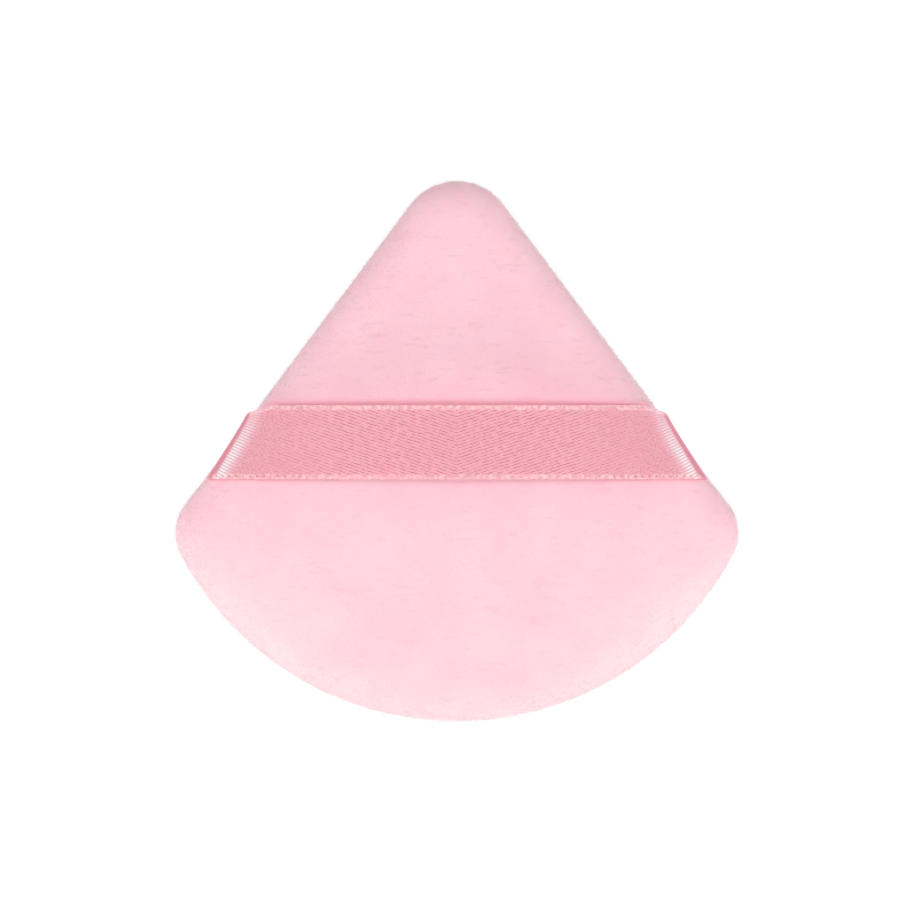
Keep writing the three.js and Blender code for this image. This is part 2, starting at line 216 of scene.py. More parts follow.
# Colours
VELOUR_COLOURS = {
    "deep": linear(251, 201, 213),
    "pale": linear(253, 207, 217),
    "streak": linear(240, 194, 204),
    "grain": linear(255, 216, 225),
    # Painted shadow along the ribbon's edges
    "pressed": linear(255, 172, 189),
    # Painted light along the curved edge
    "painted_light": linear(255, 231, 227),
}
PILE_COLOURS = {"deep": linear(249, 199, 211), "pale": linear(255, 216, 225)}
SATIN_COLOURS = {
    "pale": linear(236, 175, 186),
    "deep": linear(189, 98, 118),
    "speckle": linear(248, 194, 203),
    "fleck": linear(210, 122, 140),
    "selvedge_deep": linear(229, 168, 176),
    "selvedge_pale": linear(249, 204, 208),
    "selvedge_gap": linear(176, 104, 120),
    # Painted highlight at the fold, with darker gaps between its ribs
    "fold_highlight": linear(255, 236, 239),
    "fold_highlight_gaps": linear(200, 132, 150),
    # Painted shade on the steep part past the fold
    "steep": linear(220, 116, 138),
}
THREAD_COLOURS = {"deep": linear(236, 170, 184), "pale": linear(252, 208, 217)}
FOAM_COLOURS = {"deep": linear(228, 214, 204), "pale": linear(253, 246, 240)}
WHITE = grey(1.0)

# Values that are the same all over a surface
VELOUR_FINISH = {
    "Roughness": 1.0,
    "Specular IOR Level": 0.1,
    "Subsurface Weight": 0.25,
    "Subsurface Radius": (1.0, 0.3, 0.3),
    "Subsurface Scale": 0.6 * MM,
    "Sheen Weight": 0.6,
    "Sheen Roughness": 0.5,
    "Sheen Tint": linear(255, 236, 240),
}
PILE_FINISH = {
    "Roughness": 1.0,
    "Specular IOR Level": 0.1,
    "Subsurface Weight": 1.0,
    "Subsurface Radius": (1.0, 0.5, 0.5),
    "Subsurface Scale": 0.5 * MM,
}
SATIN_FINISH = {
    "Roughness": 0.55,
    "Specular IOR Level": 0.2,
    "Subsurface Weight": 0.6,
    "Subsurface Radius": (1.0, 0.3, 0.35),
    "Subsurface Scale": 0.5 * MM,
}
THREAD_FINISH = {"Roughness": 0.7}
FOAM_FINISH = {"Roughness": 0.95}
VELOUR_BUMP = {"Strength": 0.3, "Distance": 0.12 * MM}
SATIN_BUMP = {"Strength": 0.1, "Distance": 0.05 * MM}

# Spots: the scale of a noise, and the two values of it between which a spot fades in
PATCHES = {"scale": 130.0, "low": 0.35, "high": 0.65}
STREAKS = {"scale": 1250.0, "low": 0.58, "high": 0.72}
PILE_TONES = {"scale": 2400.0, "detail": 1.0, "low": 0.35, "high": 0.65}
UNEVEN_DIPS = {"scale": 1300.0, "low": 0.25, "high": 0.6}
SPECKLES = {"scale": 5200.0, "detail": 1.0, "low": 0.5, "high": 0.8}
FLECKS = {"scale": 3300.0, "detail": 1.0, "low": 0.48, "high": 0.66}
BINDING = {"scale": 1500.0, "low": 0.4, "high": 0.62}

# Plain noises and cells
GRAIN = {"scale": 3600.0, "roughness": 0.6}
GRAIN_FADE = (0.45, 0.75)
TWIST = {"scale": 5200.0, "detail": 1.0}
WANDER = {"scale": 420.0}
WANDER_REACH = 1.0 * MM
STREAK_STRETCH = (0.3, 1.0, 1.0)
FOAM_CELLS = 1600.0
FOAM_FADE = (0.1, 0.6)

# Strength of each tint of the velour and of the satin
STREAK_SHARE = 0.65
GRAIN_SHARE = 0.3
EDGE_SHADOW_SHARE = 0.85
PAINTED_LIGHT_SHARE = 0.36
SPECKLE_SHARE = 0.4
FLECK_SHARE = 0.55
HIGHLIGHT_GAP_SHARE = 0.6
STEEP_SHADE_SHARE = 0.5

# Painted shadow on the velour along the ribbon's edges: distances from the ribbon's two edges, from the
# middle, and heights
TIP_EDGE_FADE = (1.6 * MM, 0.1 * MM)
CURVE_EDGE_FADE = (0.5 * MM, 0.15 * MM)
CURVE_EDGE_ENDS = (18 * MM, 40 * MM)
EDGE_SHADOW_HEIGHT = (SEAM_HEIGHT + 1.8 * MM, SEAM_HEIGHT + 3.2 * MM)

# Painted light along the curved edge: distances from the curved edge's centre and to the side, y and
# heights
PAINTED_LIGHT_REACH = (CURVED_EDGE_RADIUS - 13 * MM, CURVED_EDGE_RADIUS - 2 * MM)
PAINTED_LIGHT_BESIDE = (8 * MM, 28 * MM)
PAINTED_LIGHT_MIDDLE = 0.4
PAINTED_LIGHT_OFF_CORNERS = (-12 * MM, -22 * MM)
PAINTED_LIGHT_HEIGHT = (SEAM_HEIGHT + 0.2 * MM, SEAM_HEIGHT + 0.7 * MM)

# Satin: the yarns' dips, and the ribbon's ends, which are plainer
RIBBON_ENDS = (17 * MM, 29 * MM)
DIP_FADE = (0.3, 0.06)
DIP_DEPTH = 0.8
YARN_ROUND = 0.45
END_PLAIN = 0.6
END_SHADE = 0.08
SELVEDGE_FADE = (RIBBON_WIDTH / 2 - SELVEDGE, RIBBON_WIDTH / 2 - 0.75 * SELVEDGE)
GAP_FADE = (0.26 * MM, 0.1 * MM)
GAP_SHARE = (0.1, 0.5)

# Painted highlight and painted shade on the satin at the fold, by the upward part of the surface's normal
FOLD_START = (0.925, 0.88)
FOLD_END = (0.64, 0.72)
FOLD_EASE = 0.11
HIGHLIGHT_RIB_FADE = (0.5, 0.28)
HIGHLIGHT_ACROSS = (4 * MM, -2 * MM)
HIGHLIGHT_SHARE = (0.4, 0.95)
HIGHLIGHT_GAP_FADE = (0.34, 0.5)
STEEP_SHADE_FADE = (0.68, 0.56)
UPPER_FACE = (-0.5, -0.2)

# Stage
FLOOR_HALF = 1.5
FLOOR_DROP = 0.02 * MM
FLOOR_BOUNCE = 0.8
FLOOR_SHADE = 0.12
FLOOR_GLOW = 0.93
SKY_LEVEL = 0.32
SIDES = {"left": -1, "right": 1}
LAMPS = {
    "main": {"place": (0.31, 0.0, 0.43), "size": (0.16, 0.16), "power": 1.10},
    "front": {"place": (0.15, -0.48, 0.20), "size": (0.30, 0.20), "power": 0.40},
    "low": {"place": (0.43, -0.25, 0.05), "size": (0.24, 0.05), "power": 0.5},
    "behind": {"place": (0.44, 0.25, 0.16), "size": (0.10, 0.16), "power": 0.1},
}

# Camera: the picture's size in pixels, a pixel's size on the puff, and the puff's place in pixels
FRAME_PIXELS = 918
PIXEL = 0.15 * MM
PUFF_AT = (456.8, 451.0)
LENS = 250
CLIP = (0.01, 10)


# Meshes

def mesh_object(name, points, faces, material=None, smooth=True):
    """A new object in the scene."""
    mesh = bpy.data.meshes.new(name)
    mesh.from_pydata(np.asarray(points).tolist(), [], [list(f) for f in faces])
    mesh.polygons.foreach_set("use_smooth", [smooth] * len(mesh.polygons))
    mesh.update()
    obj = bpy.data.objects.new(name, mesh)
    bpy.context.scene.collection.objects.link(obj)
    if material:
        mesh.materials.append(material)
    return obj


def spread(obj, name, flat):
    """Gives a mesh the flat places of its points as a UV map."""
    corners = np.empty(len(obj.data.loops), dtype=np.int32)
    obj.data.loops.foreach_get("vertex_index", corners)
    layer = obj.data.uv_layers.new(name=name)
    layer.data.foreach_set("uv", flat[corners].ravel())


def quads(a, b, c, d):
    """Four-sided faces from four arrays of point numbers."""
    return np.stack([a, b, c, d], -1).reshape(-1, 4).tolist()


def arc(centre, radius, start, end, count):
    """Points along an arc, without its end."""
    angle = np.linspace(start, end, count, endpoint=False)[:, None]
    return centre + radius * np.hstack([np.cos(angle), np.sin(angle)])


def line(start, end, count):
    """Points along a straight line, without its end."""
    share = np.linspace(0, 1, count, endpoint=False)[:, None]
    return start + (end - start) * share


def outline(inset, steps):
    """Points round the pad's outline moved inwards, counter-clockwise from the curved edge."""
    curved, corner, side, tip = steps
    tip_radius = max(TIP_RADIUS - inset, LEAST_RADIUS)
    corner_radius = max(CORNER_RADIUS - inset, LEAST_RADIUS)
    edge_radius = CURVED_EDGE_RADIUS - inset
    distance = SIDE_DISTANCE - inset
    tip_centre = np.array([0, (distance - tip_radius) / SIDE_NORMAL[1]])
    foot = SIDE_NORMAL * (distance - corner_radius)
    reach = foot - EDGE_CENTRE
    half = reach @ SIDE_RUN
    run = -half + math.sqrt(half**2 - reach @ reach + (edge_radius - corner_radius) ** 2)
    right = foot + SIDE_RUN * run
    left = right * [-1, 1]
    turn = math.atan2(*(right - EDGE_CENTRE)[::-1])
    mirror = math.pi - SIDE_ANGLE
    side_end = right + SIDE_NORMAL * corner_radius
    tip_start = tip_centre + SIDE_NORMAL * tip_radius
    return np.vstack([
        arc(EDGE_CENTRE, edge_radius, -math.pi / 2, turn, curved),
        arc(right, corner_radius, turn, SIDE_ANGLE, corner),
        line(side_end, tip_start, side),
        arc(tip_centre, tip_radius, SIDE_ANGLE, mirror, tip),
        line(tip_start * [-1, 1], side_end * [-1, 1], side),
        arc(left, corner_radius, mirror, math.pi - turn, corner),
        arc(EDGE_CENTRE, edge_radius, math.pi - turn, 1.5 * math.pi, curved),
    ])


def ring_skin(section, first_height, last_height, steps):
    """Points and faces of a closed skin through rings, from a middle point to a middle point."""
    rings = []
    for inset, height in section:
        flat = outline(inset, steps)
        rings.append(np.column_stack([flat, np.broadcast_to(height, len(flat))]))
    count = len(rings[0])
    points = np.vstack([*rings, [*PAD_MIDDLE, first_height], [*PAD_MIDDLE, last_height]])
    here = np.arange(count)
    after = (here + 1) % count
    faces = []
    for i in range(len(rings) - 1):
        a, b = i * count, (i + 1) * count
        faces += quads(a + here, b + here, b + after, a + after)
    first = len(rings) * count
    end = first - count
    faces += [[first, i, j] for i, j in zip(here.tolist(), after.tolist())]
    faces += [[first + 1, end + j, end + i] for i, j in zip(here.tolist(), after.tolist())]
    return points, faces


# Section of the pad

def rim_shape(share):
    """How much of its rise a face has at a share of the way in across its rim."""
    return math.sqrt(1 - (1 - min(max(share, 0), 1)) ** RIM_POWER)


def front_height(inset, depth=0.0):
    """Height of the front face at an inset from the outline, or of a layer at a depth under it."""
    rim = rim_shape((inset - depth) / (FRONT_RIM - depth))
    crown = 1 - (1 - inset / INRADIUS) ** 2
    return SEAM_HEIGHT + SEAM_LIP + (FRONT_RISE - SEAM_LIP - depth) * rim + FRONT_CROWN * crown


def rear_height(inset, depth=0.0):
    """The same for the rear face, whose middle is flat."""
    rim = rim_shape((inset - depth) / (REAR_RIM - depth))
    return SEAM_HEIGHT - SEAM_LIP - (SEAM_HEIGHT - SEAM_LIP - depth) * rim


def face_insets(edge, rim, rings):
    """Insets of a face's rings, from its edge to near its middle."""
    rim_rings, crown_rings = rings
    across_rim = edge + (rim - edge) * np.linspace(0, 1, rim_rings + 1) ** RIM_CROWDING
    across_crown = np.linspace(rim, INRADIUS, crown_rings + 2)[1:-1]
    return [*across_rim, *across_crown]


# Shape of the stuffed cover

def pad_form():
    """The outside of the whole pad as one closed form."""
    front = [(d, front_height(d)) for d in face_insets(0, FRONT_RIM, COARSE_RINGS)]
    rear = [(d, rear_height(d)) for d in face_insets(0, REAR_RIM, COARSE_RINGS)]
    return ring_skin([*front[::-1], *rear], FRONT_TOP, 0, FORM_STEPS)


def voxel_pad():
    """The enlarged form as an even mesh for the simulation."""
    points, faces = pad_form()
    form = mesh_object("pad_form", points * SIM_SCALE, faces)
    remesh = form.modifiers.new("voxels", "REMESH")
    remesh.mode = "VOXEL"
    remesh.voxel_size = SIM_VOXEL
    depsgraph = bpy.context.evaluated_depsgraph_get()
    mesh = bpy.data.meshes.new_from_object(form.evaluated_get(depsgraph))
    bpy.data.objects.remove(form)
    return mesh


def held_points(points):
    """Numbers of the points by the seam and on the flat that the pad lies on."""
    height = points[:, 2]
    by_seam = np.abs(height - SEAM_HEIGHT * SIM_SCALE) < SEAM_HOLD * SIM_SCALE
    flat = height < height.min() + FLAT_HOLD * SIM_SCALE
    return np.flatnonzero(by_seam | flat).tolist()


def add_cloth(obj):
    """Cloth under pressure and a smoothing after it, both of which leave the held points alone."""
    cloth = obj.modifiers.new("cloth", "CLOTH").settings
    cloth.vertex_group_mass = HELD
    cloth.use_pressure = True
    cloth.uniform_pressure_force = SIM_PRESSURE
    cloth.effector_weights.gravity = 0
    cloth.tension_stiffness = SIM_STRETCH
    cloth.compression_stiffness = SIM_STRETCH
    cloth.bending_stiffness = SIM_BEND
    cloth.quality = SIM_QUALITY
    calm = obj.modifiers.new("calm", "SMOOTH")
    calm.factor = SMOOTH_FACTOR
    calm.iterations = SMOOTH_TIMES
    calm.vertex_group = HELD
    calm.invert_vertex_group = True


def inflated_pad():
    """Points and faces of the form blown up like a stuffed cover."""
    scene = bpy.context.scene
    mesh = voxel_pad()
    obj = bpy.data.objects.new("pad_cover", mesh)
    scene.collection.objects.link(obj)
    start = np.array([v.co for v in mesh.vertices])
    obj.vertex_groups.new(name=HELD).add(held_points(start), 1.0, "REPLACE")
    add_cloth(obj)
    for number in range(1, SIM_FRAMES + 1):
        scene.frame_set(number)
    depsgraph = bpy.context.evaluated_depsgraph_get()
    blown = np.array([v.co for v in obj.evaluated_get(depsgraph).data.vertices])
    scene.frame_set(1)
    move = blown - start
    length = np.linalg.norm(move, axis=1, keepdims=True)
    move *= np.minimum(1, SIM_CAP * SIM_SCALE / np.maximum(length, TINY))
    ended = (start + move) / SIM_SCALE
    polygons = [list(p.vertices) for p in mesh.polygons]
    bpy.data.objects.remove(obj)
    return ended, polygons


def smooth_step(share):
    """From 0 to 1 without a kink at either end."""
    return share * share * (3 - 2 * share)


def swell(height, rim, side, target):
    """A function of the inset that gives how much fuller the blown-up cover is, round each ring."""
    insets = np.array(face_insets(0, rim, FINE_RINGS))
    count = len(outline(0, SKIN_STEPS))
    if target is None:
        return lambda inset: np.ones(count)
    drawn = np.array([height(d) for d in insets])[:, None] - SEAM_HEIGHT
    blown = np.zeros((len(insets), count))
    for i, inset in enumerate(insets):
        for j, (x, y) in enumerate(outline(inset, SKIN_STEPS)):
            start = Vector((x, y, SEAM_HEIGHT + side * RAY_START))
            hit = target.ray_cast(start, Vector((0, 0, -side)))[0]
            blown[i, j] = hit.z - SEAM_HEIGHT if hit else drawn[i, 0]
    blown *= np.abs(drawn).max() / np.abs(blown).max()
    share = np.clip((insets - SEAM_LIP) / SWELL_EASE, 0, 1)[:, None]
    ratio = 1 + (blown / drawn - 1) * smooth_step(share)
    columns = range(count)
    return lambda inset: np.array([np.interp(inset, insets, ratio[:, j]) for j in columns])


def swollen(height, side_swell):
    """Heights at an inset and a depth under the cover, made fuller round each ring."""
    def fuller(inset, depth=0.0):
        return SEAM_HEIGHT + (height(inset, depth) - SEAM_HEIGHT) * side_swell(inset)

    return fuller


# Course of the ribbon

def across_ribbon(sides, share):
    """A size between those of the ribbon's two edges."""
    return sides["curve_side"] + (sides["tip_side"] - sides["curve_side"]) * share


def leg_route(fold, shoulder, out, slope):
    """Distances out from the seam and heights, from the fold down the pad's side and into the seam."""
    tuck_height = SEAM_HEIGHT + TUCK_BEND
    t = np.linspace(0, 1, LEG_SAMPLES)[:, None]
    corners = np.array([
        [fold, SHOULDER_HEIGHT],
        [shoulder, SHOULDER_HEIGHT - slope * (shoulder - fold)],
        [out, SHOULDER_HEIGHT - SHOULDER_DROP],
        [out, tuck_height],
    ])
    weights = np.hstack([(1 - t) ** 3, 3 * t * (1 - t) ** 2, 3 * t**2 * (1 - t), t**3])
    down = weights @ corners
    angle = np.linspace(0, -math.pi / 2, TUCK_SAMPLES)[1:, None]
    turn = [out - TUCK_BEND, tuck_height] + TUCK_BEND * np.hstack([np.cos(angle), np.sin(angle)])
    end = np.array([[-TAIL_INSET, SEAM_HEIGHT]])
    return np.vstack([down, turn, end])


def ribbon_line(y, span, leg, tuck, tail):
    """One thread line of the ribbon's right half, from its middle to its end in the seam."""
    share = (y - RIBBON_AHEAD) / RIBBON_WIDTH + 0.5
    shoulder = across_ribbon(SHOULDER_OUT, share)
    out = across_ribbon(LEG_OUT, share)
    fold = shoulder - across_ribbon(SHOULDER_BEND, share)
    fold_x = (SIDE_DISTANCE + fold - SIDE_NORMAL[1] * y) / SIDE_NORMAL[0]
    part = np.linspace(0, 1, span, endpoint=False)
    rise = RIBBON_TOP - SHOULDER_HEIGHT
    across_pad = np.stack([fold_x * part, np.full(span, y), RIBBON_TOP - rise * part**2], 1)

    slope = 2 * rise / (fold_x * SIDE_NORMAL[0])
    route = leg_route(fold, shoulder, out, slope)
    length = np.concatenate([[0], np.cumsum(np.linalg.norm(np.diff(route, axis=0), axis=1))])
    leg_end = length[LEG_SAMPLES - 1]
    turn_end = length[-2]
    stations = np.concatenate([
        np.linspace(0, leg_end, leg, endpoint=False),
        np.linspace(leg_end, turn_end, tuck, endpoint=False),
        np.linspace(turn_end, length[-1], tail),
    ])
    outwards = SIDE_DISTANCE + np.interp(stations, length, route[:, 0])
    drawn_in = y - GATHER * share**GATHER_POWER * np.minimum(stations / leg_end, 1)
    aside = (outwards - SIDE_NORMAL[1] * drawn_in) / SIDE_NORMAL[0]
    over_edge = np.column_stack([aside, drawn_in, np.interp(stations, length, route[:, 1])])
    return np.vstack([across_pad, over_edge])


def ribbon_grid(rows, span, leg, tuck, tail, width=RIBBON_WIDTH):
    """Middle surface of the ribbon as rows of points, and its unit normals."""
    lines = []
    for y in np.linspace(-0.5, 0.5, rows) * width + RIBBON_AHEAD:
        right = ribbon_line(y, span, leg, tuck, tail)
        left = right[:0:-1] * [-1, 1, 1]
        lines.append(np.vstack([left, right]))
    grid = np.array(lines)
    along = np.gradient(grid, axis=1)
    across = np.gradient(grid, axis=0)
    normal = np.cross(along, across)
    return grid, normal / np.linalg.norm(normal, axis=2, keepdims=True)


def laid_flat(grid):
    """Where each point of the ribbon lies before it is sewn on, measured from its middle."""
    rows = len(grid)
    steps = np.linalg.norm(np.diff(grid, axis=1), axis=2)
    along = np.hstack([np.zeros((rows, 1)), np.cumsum(steps, axis=1)])
    along -= along[:, along.shape[1] // 2, None]
    across = np.linspace(-0.5, 0.5, rows)[:, None] * RIBBON_WIDTH
    return along, np.broadcast_to(across, along.shape)


def weave_relief(flat_x, flat_y, normal):
    """How far the ribbon's upper face stands out: twill lines between two beaded selvedges."""
    slant = flat_y * math.cos(TWILL_ANGLE) - np.abs(flat_x) * math.sin(TWILL_ANGLE)
    lines = np.sin(2 * math.pi * slant / TWILL_PITCH)
    edge = np.clip((np.abs(flat_y) - RIBBON_WIDTH / 2 + SELVEDGE) / SELVEDGE, 0, 1)
    wave = 1 - BEAD_WAVE + BEAD_WAVE * np.cos(2 * math.pi * flat_x / SELVEDGE_PITCH)
    bead = np.sin(math.pi * edge) * wave
    steep = np.sqrt(1 - normal[:, :, 2].clip(0, 1) ** 2)
    on_fold = np.clip((steep - STEEP_START) / STEEP_SPAN, 0, 1)
    depth = TWILL_DEPTH + (FOLD_DEPTH - TWILL_DEPTH) * on_fold
    return depth * (lines - 1) * (edge == 0) + BEAD_HEIGHT * bead


def closed_sheet(upper, lower):
    """Points and faces of a sheet between two grids of points."""
    rows, columns = upper.shape[:2]
    points = np.vstack([upper.reshape(-1, 3), lower.reshape(-1, 3)])
    index = np.arange(rows * columns).reshape(rows, columns)
    under = index + rows * columns
    faces = quads(index[:-1, :-1], index[:-1, 1:], index[1:, 1:], index[1:, :-1])
    faces += quads(under[:-1, :-1], under[1:, :-1], under[1:, 1:], under[:-1, 1:])
    faces += quads(index[:-1, 0], index[1:, 0], under[1:, 0], under[:-1, 0])
    faces += quads(index[:-1, -1], under[:-1, -1], under[1:, -1], index[1:, -1])
    faces += quads(index[0, :-1], under[0, :-1], under[0, 1:], index[0, 1:])
    faces += quads(index[-1, :-1], index[-1, 1:], under[-1, 1:], under[-1, :-1])
    return points, faces


def ribbon_ends():
    """A tree of the ribbon's middle surface, a little wider than the ribbon."""
    grid = ribbon_grid(**PRESS_MESH, width=RIBBON_WIDTH + 2 * PRESS_MARGIN)[0]
    index = np.arange(grid.shape[0] * grid.shape[1]).reshape(grid.shape[:2])
    faces = quads(index[:-1, :-1], index[:-1, 1:], index[1:, 1:], index[1:, :-1])
    return BVHTree.FromPolygons(grid.reshape(-1, 3).tolist(), faces)


def pressed_in(points):
    """The cover's points, with those that would stand through the ribbon's ends moved in under them."""
    ends = ribbon_ends()
    off_ribbon = np.abs(points[:, 1] - RIBBON_AHEAD) - RIBBON_WIDTH / 2
    near = (off_ribbon < PRESS_MARGIN) & (np.abs(points[:, 0]) > BARE_FROM)
    near &= points[:, 2] > SEAM_HEIGHT + SEAM_GAP / 2 + PRESS_GAP
    moved = points.copy()
    for i in np.flatnonzero(near):
        side = math.copysign(1, points[i, 0])
        outwards = Vector((side * SIDE_NORMAL[0], SIDE_NORMAL[1], 0))
        start = Vector(points[i]) - outwards * PRESS_REACH
        distance = ends.ray_cast(start, outwards)[3]
        if distance is not None:
            room = distance - RIBBON_THICKNESS / 2 - PRESS_GAP
            moved[i] = start + outwards * min(room, PRESS_REACH)
    return moved


# Materials

class Look:
    """A new material and a short way to write its nodes."""

    # Sockets of a mix node that hold its colours
    FIRST, SECOND, MIXED = 6, 7, 2

    def __init__(self, name, finish):
        self.material = bpy.data.materials.new(name)
        self.material.use_nodes = True
        self.tree = self.material.node_tree
        self.shader = self.tree.nodes["Principled BSDF"]
        for socket, value in finish.items():
            self.shader.inputs[socket].default_value = value

    def add(self, kind, settings=None, **inputs):
        """A new node. Spaces in the names of its inputs are written as underscores."""
        node = self.tree.nodes.new(kind)
        for key, value in (settings or {}).items():
            setattr(node, key, value)
        for key, value in inputs.items():
            self.feed(node.inputs[key.replace("_", " ")], value)
        return node

    def feed(self, socket, value):
        """Links another node's output to a socket, or sets a plain value."""
        if isinstance(value, bpy.types.NodeSocket):
            self.tree.links.new(value, socket)
        else:
            socket.default_value = value

    def math(self, operation, *values):
        node = self.add("ShaderNodeMath", {"operation": operation})
        for socket, value in zip(node.inputs, values):
            self.feed(socket, value)
        return node.outputs[0]

    def times(self, product, *others):
        for other in others:
            product = self.math("MULTIPLY", product, other)
        return product

    def mix(self, share, first, second):
        node = self.add("ShaderNodeMix", {"data_type": "RGBA"}, Factor=share)
        self.feed(node.inputs[self.FIRST], first)
        self.feed(node.inputs[self.SECOND], second)
        return node.outputs[self.MIXED]

    def tint(self, colour, share, strength, other):
        """A colour mixed with another by a share that changes over the surface times a strength."""
        return self.mix(self.times(share, strength), colour, other)

    def ramp(self, value, low, high, start=0.0, end=1.0):
        """Runs from start to end as the value runs from low to high, and stays there beyond."""
        inputs = {"Value": value, "From_Min": low, "From_Max": high, "To_Min": start, "To_Max": end}
        return self.add("ShaderNodeMapRange", **inputs).outputs[0]

    def place(self):
        return self.add("ShaderNodeTexCoord").outputs["Object"]

    def parts(self, vector):
        return self.add("ShaderNodeSeparateXYZ", Vector=vector).outputs

    def noise(self, vector, scale, detail=2.0, roughness=0.5):
        inputs = {"Vector": vector, "Scale": scale, "Detail": detail, "Roughness": roughness}
        return self.add("ShaderNodeTexNoise", **inputs).outputs["Fac"]

    def spots(self, vector, low, high, **pattern):
        """Soft-edged spots where a noise is high."""
        return self.ramp(self.noise(vector, **pattern), low, high)

    def paint(self, colour):
        self.feed(self.shader.inputs["Base Color"], colour)

    def bump(self, height, **inputs):
        node = self.add("ShaderNodeBump", Height=height, **inputs)
        self.feed(self.shader.inputs["Normal"], node.outputs[0])


def pressed_share(n, x, y):
    """Share of painted shadow, a deeper pink on the velour along the ribbon's edges."""
    from_tip_edge = n.math("ABSOLUTE", n.math("SUBTRACT", y, RIBBON_AHEAD + RIBBON_WIDTH / 2))
    tip_edge = n.math("POWER", n.ramp(from_tip_edge, *TIP_EDGE_FADE), 2.0)
    from_curve_edge = n.math("ABSOLUTE", n.math("SUBTRACT", y, RIBBON_AHEAD - RIBBON_WIDTH / 2))
    towards_ends = n.ramp(n.math("ABSOLUTE", x), *CURVE_EDGE_ENDS)
    curve_edge = n.times(n.ramp(from_curve_edge, *CURVE_EDGE_FADE), towards_ends)
    return n.math("MAXIMUM", tip_edge, curve_edge)


def painted_light_share(n, x, y):
    """Share of painted light, paler in colour, along the curved edge, most beside its middle."""
    reach = n.math("POWER", n.math("SUBTRACT", y, EDGE_CENTRE[1]), 2.0)
    from_centre = n.math("SQRT", n.math("ADD", n.math("POWER", x, 2.0), reach))
    by_edge = n.ramp(from_centre, *PAINTED_LIGHT_REACH)
    beside = n.ramp(n.math("ABSOLUTE", x), *PAINTED_LIGHT_BESIDE, start=PAINTED_LIGHT_MIDDLE)
    off_corners = n.ramp(y, *PAINTED_LIGHT_OFF_CORNERS)
    return n.times(by_edge, beside, off_corners)


def painted_light(n, colour):
    """A colour made paler by painted light along the front's curved edge."""
    x, y, z = n.parts(n.place())
    front = n.ramp(z, *PAINTED_LIGHT_HEIGHT)
    # Painted light: paler towards the curved edge, on the front only
    share = n.times(painted_light_share(n, x, y), PAINTED_LIGHT_SHARE, front)
    return n.mix(share, colour, VELOUR_COLOURS["painted_light"])


def velour_material():
    """Soft pink with faint streaks across, with painted shadow along the ribbon and painted light at the
    curved edge.
    """
    n = Look("velour", VELOUR_FINISH)
    tones = VELOUR_COLOURS
    place = n.place()
    drawn_out = n.add("ShaderNodeMapping", Vector=place, Scale=STREAK_STRETCH).outputs[0]
    grain = n.noise(place, **GRAIN)
    colour = n.mix(n.spots(place, **PATCHES), tones["deep"], tones["pale"])
    colour = n.tint(colour, n.spots(drawn_out, **STREAKS), STREAK_SHARE, tones["streak"])
    colour = n.tint(colour, n.ramp(grain, *GRAIN_FADE), GRAIN_SHARE, tones["grain"])
    colour = painted_light(n, colour)
    x, y, z = n.parts(place)
    # Painted shadow: a deeper pink along the ribbon's edges, on the upper part of the front
    pressed = n.times(pressed_share(n, x, y), EDGE_SHADOW_SHARE, n.ramp(z, *EDGE_SHADOW_HEIGHT))
    n.paint(n.mix(pressed, colour, tones["pressed"]))
    n.bump(grain, **VELOUR_BUMP)
    return n.material


def pile_material():
    """Two near tones of the velour's pink, with the same painted light at the curved edge."""
    n = Look("pile", PILE_FINISH)
    colour = n.mix(n.spots(n.place(), **PILE_TONES), PILE_COLOURS["deep"], PILE_COLOURS["pale"])
    # The same painted light as on the velour
    n.paint(painted_light(n, colour))
    return n.material


def twill(n, flat, from_middle, y):
    """The round of the yarns along the ribbon, and their dips, which make a chevron of slanting lines."""
    yarn = n.math("DIVIDE", y, YARN_PITCH)
    round_yarn = n.math("SINE", n.times(n.math("FRACT", yarn), math.pi))
    stepped = n.times(n.math("FLOOR", yarn), YARN_STEP)
    stepped = n.math("ADD", stepped, n.times(yarn, 1 - YARN_STEP))
    shift = n.times(stepped, YARN_PITCH / math.tan(TWILL_ANGLE))
    wander = n.times(n.noise(flat, **WANDER), WANDER_REACH)
    along = n.math("ADD", n.math("SUBTRACT", from_middle, shift), wander)
    turn = n.math("FRACT", n.math("DIVIDE", along, TWILL_PITCH / math.sin(TWILL_ANGLE)))
    dip = n.ramp(n.math("ABSOLUTE", n.math("SUBTRACT", turn, 0.5)), *DIP_FADE)
    return round_yarn, dip


def woven_colour(n, flat, ends, round_yarn, dip):
    """Pink that is deeper in the yarns' dips. The ribbon's ends are plainer, with dark flecks."""
    tones = SATIN_COLOURS
    plain = n.math("SUBTRACT", 1.0, n.times(ends, END_PLAIN))
    deep = n.math("ADD", n.times(round_yarn, YARN_ROUND), 1 - YARN_ROUND)
    deep = n.times(deep, n.spots(flat, **UNEVEN_DIPS))
    shade = n.math("MAXIMUM", n.times(dip, deep, plain), n.times(ends, END_SHADE))
    colour = n.mix(shade, tones["pale"], tones["deep"])
    colour = n.tint(colour, n.spots(flat, **SPECKLES), SPECKLE_SHARE, tones["speckle"])
    fleck = n.times(n.spots(flat, **FLECKS), ends)
    return n.tint(colour, fleck, FLECK_SHARE, tones["fleck"])


def selvedge_colour(n, flat):
    """Pale edges, unevenly bound."""
    bound = n.spots(flat, **BINDING)
    return n.mix(bound, SATIN_COLOURS["selvedge_deep"], SATIN_COLOURS["selvedge_pale"])


def selvedge_gaps(n, x, y):
    """Small gaps between the turns of the weft in the selvedge on the curved edge's side."""
    place = n.math("SUBTRACT", n.math("FRACT", n.math("DIVIDE", x, SELVEDGE_PITCH)), 0.5)
    along = n.times(place, SELVEDGE_PITCH)
    across = n.math("ADD", y, (RIBBON_WIDTH - SELVEDGE) / 2)
    squares = n.math("ADD", n.math("POWER", along, 2.0), n.math("POWER", across, 2.0))
    return n.ramp(n.math("SQRT", squares), *GAP_FADE)


